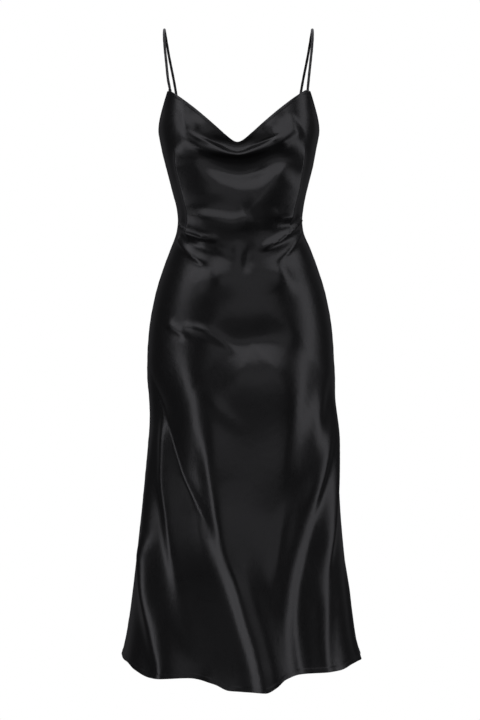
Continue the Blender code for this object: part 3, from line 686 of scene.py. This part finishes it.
def satin(name, shade, roughness, streak, crease):
    """Black satin, woven in fine floats that lie on the bias.

    The shade and roughness vary with a noise stretched along the floats and a broad one. The bump
    is the floats', plus soft handling creases a few centimetres wide.
    """
    material = bpy.data.materials.new(name)
    material.use_nodes = True
    shader = material.node_tree.nodes["Principled BSDF"]
    wire = Wire(material.node_tree)
    flat_map = wire.add("ShaderNodeUVMap", {"uv_map": "cloth"})
    on_bias = wire.add("ShaderNodeMapping", {}, {"Vector": flat_map, "Rotation": (0, 0, np.pi / 4),
                                                 "Scale": FLOAT_REPEATS})
    floats = wire.add("ShaderNodeTexNoise", {}, {"Vector": on_bias, "Scale": 1, "Detail": 2})
    broad = wire.add("ShaderNodeTexNoise", {}, {"Vector": flat_map, "Scale": BROAD_REPEATS,
                                                "Detail": 3})
    creases = wire.add("ShaderNodeTexNoise", {}, {"Vector": flat_map, "Scale": CREASE_REPEATS,
                                                  "Detail": 4, "Roughness": 0.45})
    tone = floats * 0.5 + broad * 0.5
    colour = wire.add("ShaderNodeMix", {"data_type": "RGBA"},
                      {0: tone, 6: (0.75 * shade, 0.75 * shade, 0.76 * shade, 1),
                       7: (1.25 * shade, 1.25 * shade, 1.3 * shade, 1)}, output=2)
    grain = wire.add("ShaderNodeBump", {}, {"Strength": 1.0, "Distance": FLOAT_DEPTH * streak,
                                            "Height": floats})
    soft = wire.add("ShaderNodeBump", {}, {"Strength": 1.0, "Distance": CREASE_DEPTH * crease,
                                           "Height": creases, "Normal": grain})
    wire.feed(shader.inputs["Base Color"], colour)
    wire.feed(shader.inputs["Roughness"], roughness - 0.04 + floats * 0.05 + broad * 0.04)
    wire.feed(shader.inputs["Normal"], soft)
    shader.inputs["IOR"].default_value = 1.5
    return material


def thread(name):
    """Black polyester thread, a little glossier and greyer than the cloth, twisted finely."""
    material = bpy.data.materials.new(name)
    material.use_nodes = True
    shader = material.node_tree.nodes["Principled BSDF"]
    wire = Wire(material.node_tree)
    place = wire.add("ShaderNodeTexCoord", output=3)
    twist = wire.add("ShaderNodeTexNoise", {}, {"Vector": place, "Scale": THREAD_REPEATS,
                                                "Detail": 1})
    colour = wire.add("ShaderNodeMix", {"data_type": "RGBA"},
                      {0: twist, 6: (0.004, 0.004, 0.004, 1), 7: (0.01, 0.01, 0.011, 1)}, output=2)
    wire.feed(shader.inputs["Base Color"], colour)
    wire.feed(shader.inputs["Roughness"], 0.4 + twist * 0.2)
    return material


# ---------------------------------------------------------------------------------------- studio
def glowing(name, colour, strength):
    """A plain surface that glows evenly."""
    material = bpy.data.materials.new(name)
    material.use_nodes = True
    tree = material.node_tree
    tree.nodes.clear()
    glow = tree.nodes.new("ShaderNodeEmission")
    glow.inputs["Color"].default_value = (*colour, 1)
    glow.inputs["Strength"].default_value = strength
    output = tree.nodes.new("ShaderNodeOutputMaterial")
    tree.links.new(glow.outputs[0], output.inputs["Surface"])
    return material


ROOM_PROFILE = ((0, -1.4), (4.5, -1.4), (6, -1.2), (7, -0.6), (7.4, 0.4), (7.4, 4), (6, 7),
                (3, 8.5), (0, 9))               # each a radius and a height, in metres
ROOM_SIDES = 64


def white_room():
    """A pale floor that curves up into a round wall and a dome, as one surface of revolution."""
    radius, height = np.array(ROOM_PROFILE[1:-1]).T[..., None]
    turn = np.linspace(0, 2 * np.pi, ROOM_SIDES, endpoint=False)
    rings = np.stack(np.broadcast_arrays(radius * np.cos(turn), radius * np.sin(turn), height),
                     axis=-1)
    poles = [[0, 0, ROOM_PROFILE[0][1]], [0, 0, ROOM_PROFILE[-1][1]]]
    points = np.concatenate([rings.reshape(-1, 3), poles])
    faces = [face[::-1] for face in tube_faces(*rings.shape[:2])]
    mesh = bpy.data.meshes.new("room")
    mesh.from_pydata(points.tolist(), [], faces)
    mesh.shade_smooth()
    mesh.materials.append(glowing("white room", (1, 1, 1), 1.0))
    room = bpy.data.objects.new("room", mesh)
    room.visible_diffuse = room.visible_glossy = room.visible_shadow = False
    bpy.context.scene.collection.objects.link(room)


SoftBox = namedtuple("SoftBox", "name azimuth elevation distance width height power")
SOFT_BOXES = (              # azimuth from the front, to the dress's left where positive
    SoftBox("softbox_right_low", -66, -13.5, 2.3, 0.75, 1.95, 6.6),
    SoftBox("softbox_right_high", -66, 34, 2.4, 0.75, 1.5, 5.1),
    SoftBox("softbox_left", 78, 5, 2.2, 0.95, 3.6, 10.7),
    SoftBox("softbox_top", 0, 60, 2.2, 3.6, 2.2, 24.8),
    SoftBox("softbox_top_back", 180, 60, 2.2, 3.6, 2.2, 24.8),
    SoftBox("rim_right", -138, 0, 2.6, 1.2, 3.0, 0.4),
    SoftBox("rim_left", 138, 0, 2.6, 1.2, 3.0, 0.4),
    SoftBox("fill_front", 9.5, 12, 4.0, 4.4, 1.95, 11.3),
    SoftBox("fill_low", -12, -17, 4.0, 6.0, 1.9, 5.0),
)
AIM = (0.0, 0.0, -0.6)      # the middle of the dress, in metres
LIGHT_COLOUR = (0.95, 0.94, 1.0)
SURROUND_STRENGTH = 0.045
CAMERA_PLACE = (0, -3.2, -0.605)
LENS, SENSOR_HEIGHT = 86.95, 36


def studio():
    """Soft boxes aimed at the middle of the dress, a dim even surround, and the camera."""
    for box in SOFT_BOXES:
        lamp = bpy.data.lights.new(box.name, "AREA")
        lamp.shape = "RECTANGLE"
        lamp.size, lamp.size_y = box.width, box.height
        lamp.energy, lamp.color = box.power, LIGHT_COLOUR
        item = bpy.data.objects.new(box.name, lamp)
        azimuth, elevation = np.radians(box.azimuth), np.radians(box.elevation)
        item.location = (AIM[0] + box.distance * np.sin(azimuth) * np.cos(elevation),
                         AIM[1] - box.distance * np.cos(azimuth) * np.cos(elevation),
                         AIM[2] + box.distance * np.sin(elevation))
        item.rotation_euler = (np.pi / 2 - elevation, 0, azimuth)
        item.visible_camera = False
        bpy.context.scene.collection.objects.link(item)
    world = bpy.data.worlds.new("surround")
    world.use_nodes = True
    background = world.node_tree.nodes["Background"]
    background.inputs["Color"].default_value = (*LIGHT_COLOUR, 1)
    background.inputs["Strength"].default_value = SURROUND_STRENGTH
    bpy.context.scene.world = world
    view = bpy.data.cameras.new("camera")
    view.sensor_fit = "VERTICAL"
    view.sensor_height = SENSOR_HEIGHT
    view.lens = LENS
    camera = bpy.data.objects.new("camera", view)
    camera.location = CAMERA_PLACE
    camera.rotation_euler = (np.pi / 2, 0, 0)
    bpy.context.scene.collection.objects.link(camera)
    bpy.context.scene.camera = camera
    bpy.context.scene.view_settings.view_transform = "Standard"


# ----------------------------------------------------------------------------------------- pieces
def behind(angle, drop):
    """The middle of a strap that lies against the inside of the cloth."""
    angle, drop = np.array([float(angle)]), np.array([float(drop)])
    return (cloth(angle, drop) - STRAP_SUNK * outward(angle, drop))[0]


def strap(name, side, materials):
    """A rouleau strap: a round tube of satin, sewn flat behind the cloth at its two ends."""
    front_angle, back_angle = side * TIP_ANGLE, side * STRAP_BACK_ANGLE
    back_edge = float(back_top(np.array([back_angle]))[0])
    lower_front = [behind(front_angle, TIP_DROP + deep) for deep in (STRAP_LAP, STRAP_ENTRY)]
    lower_back = [behind(back_angle, back_edge + deep) for deep in (STRAP_ENTRY, STRAP_LAP)]
    over = [np.array([SHOULDER_CENTRE + side * p.across, p.depth, STRAP_RISE - p.drop])
            for p in STRAP_ROUTE]
    route = np.array(lower_front + over + lower_back)
    length = np.concatenate([[0], np.cumsum(np.linalg.norm(np.diff(route, axis=0), axis=1))])
    at = np.linspace(0, length[-1], STRAP_STEPS)
    line = np.stack([through_rows(length, route[:, k], at) for k in range(3)], axis=-1)
    from_end = np.minimum(at, length[-1] - at)
    flat = 1 - swell((from_end - STRAP_LAP) / STRAP_FLATTENING)
    radius = STRAP_RADIUS + waves(STRAP_WAVES, at)
    taper = 0.5 + 0.5 * np.sqrt(np.clip(from_end / STRAP_TAPER, 0, 1))
    across = np.broadcast_to([side * 0.15, 1.0, 0.2], line.shape) * (1 - flat[:, None])
    across = across + np.array([0.85, side * 0.35, 0]) * flat[:, None]
    return tube_along(name, line, across, (radius + STRAP_WIDENED * flat) * taper,
                      (radius - STRAP_THINNED * flat) * taper, STRAP_SIDES, materials)


def main():
    """The four pieces and their stitches, with the CAD's own panels and straps hidden, and the
    studio.
    """
    outer_satin = satin("black_satin", 0.005, 0.28, 1.0, 0.25)
    wrong_side = satin("black_satin_wrong_side", 0.013, 0.5, 1.5, 0.25)
    strap_satin = satin("black_satin_rouleau", 0.004, 0.5, 1.0, 0.3)
    sewing_thread = thread("black_thread")

    front = panel("dress_front", front_columns(), front_top, [outer_satin, wrong_side])
    back = panel("dress_back", back_columns(), back_top, [outer_satin, wrong_side])
    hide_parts("front_panel")
    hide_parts("back_panel")
    right_strap = strap("rouleau_right", -1, [strap_satin])
    left_strap = strap("rouleau_left", 1, [strap_satin])
    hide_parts("strap_right")
    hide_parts("strap_left")

    for name, side in (("front", front), ("back", back)):
        neck_row, hem_row = NECK_STITCH_ROW, len(side.outer) - len(HEM_EDGE_ROWS) + HEM_STITCH_ROW
        stitching(f"{name}_edge_stitches", side.outer[neck_row], side.normal[neck_row],
                      *EDGE_STITCH, [sewing_thread])
        stitching(f"{name}_hem_stitches", side.outer[hem_row], side.normal[hem_row],
                      *HEM_STITCH, [sewing_thread])
    white_room()
    studio()


main()
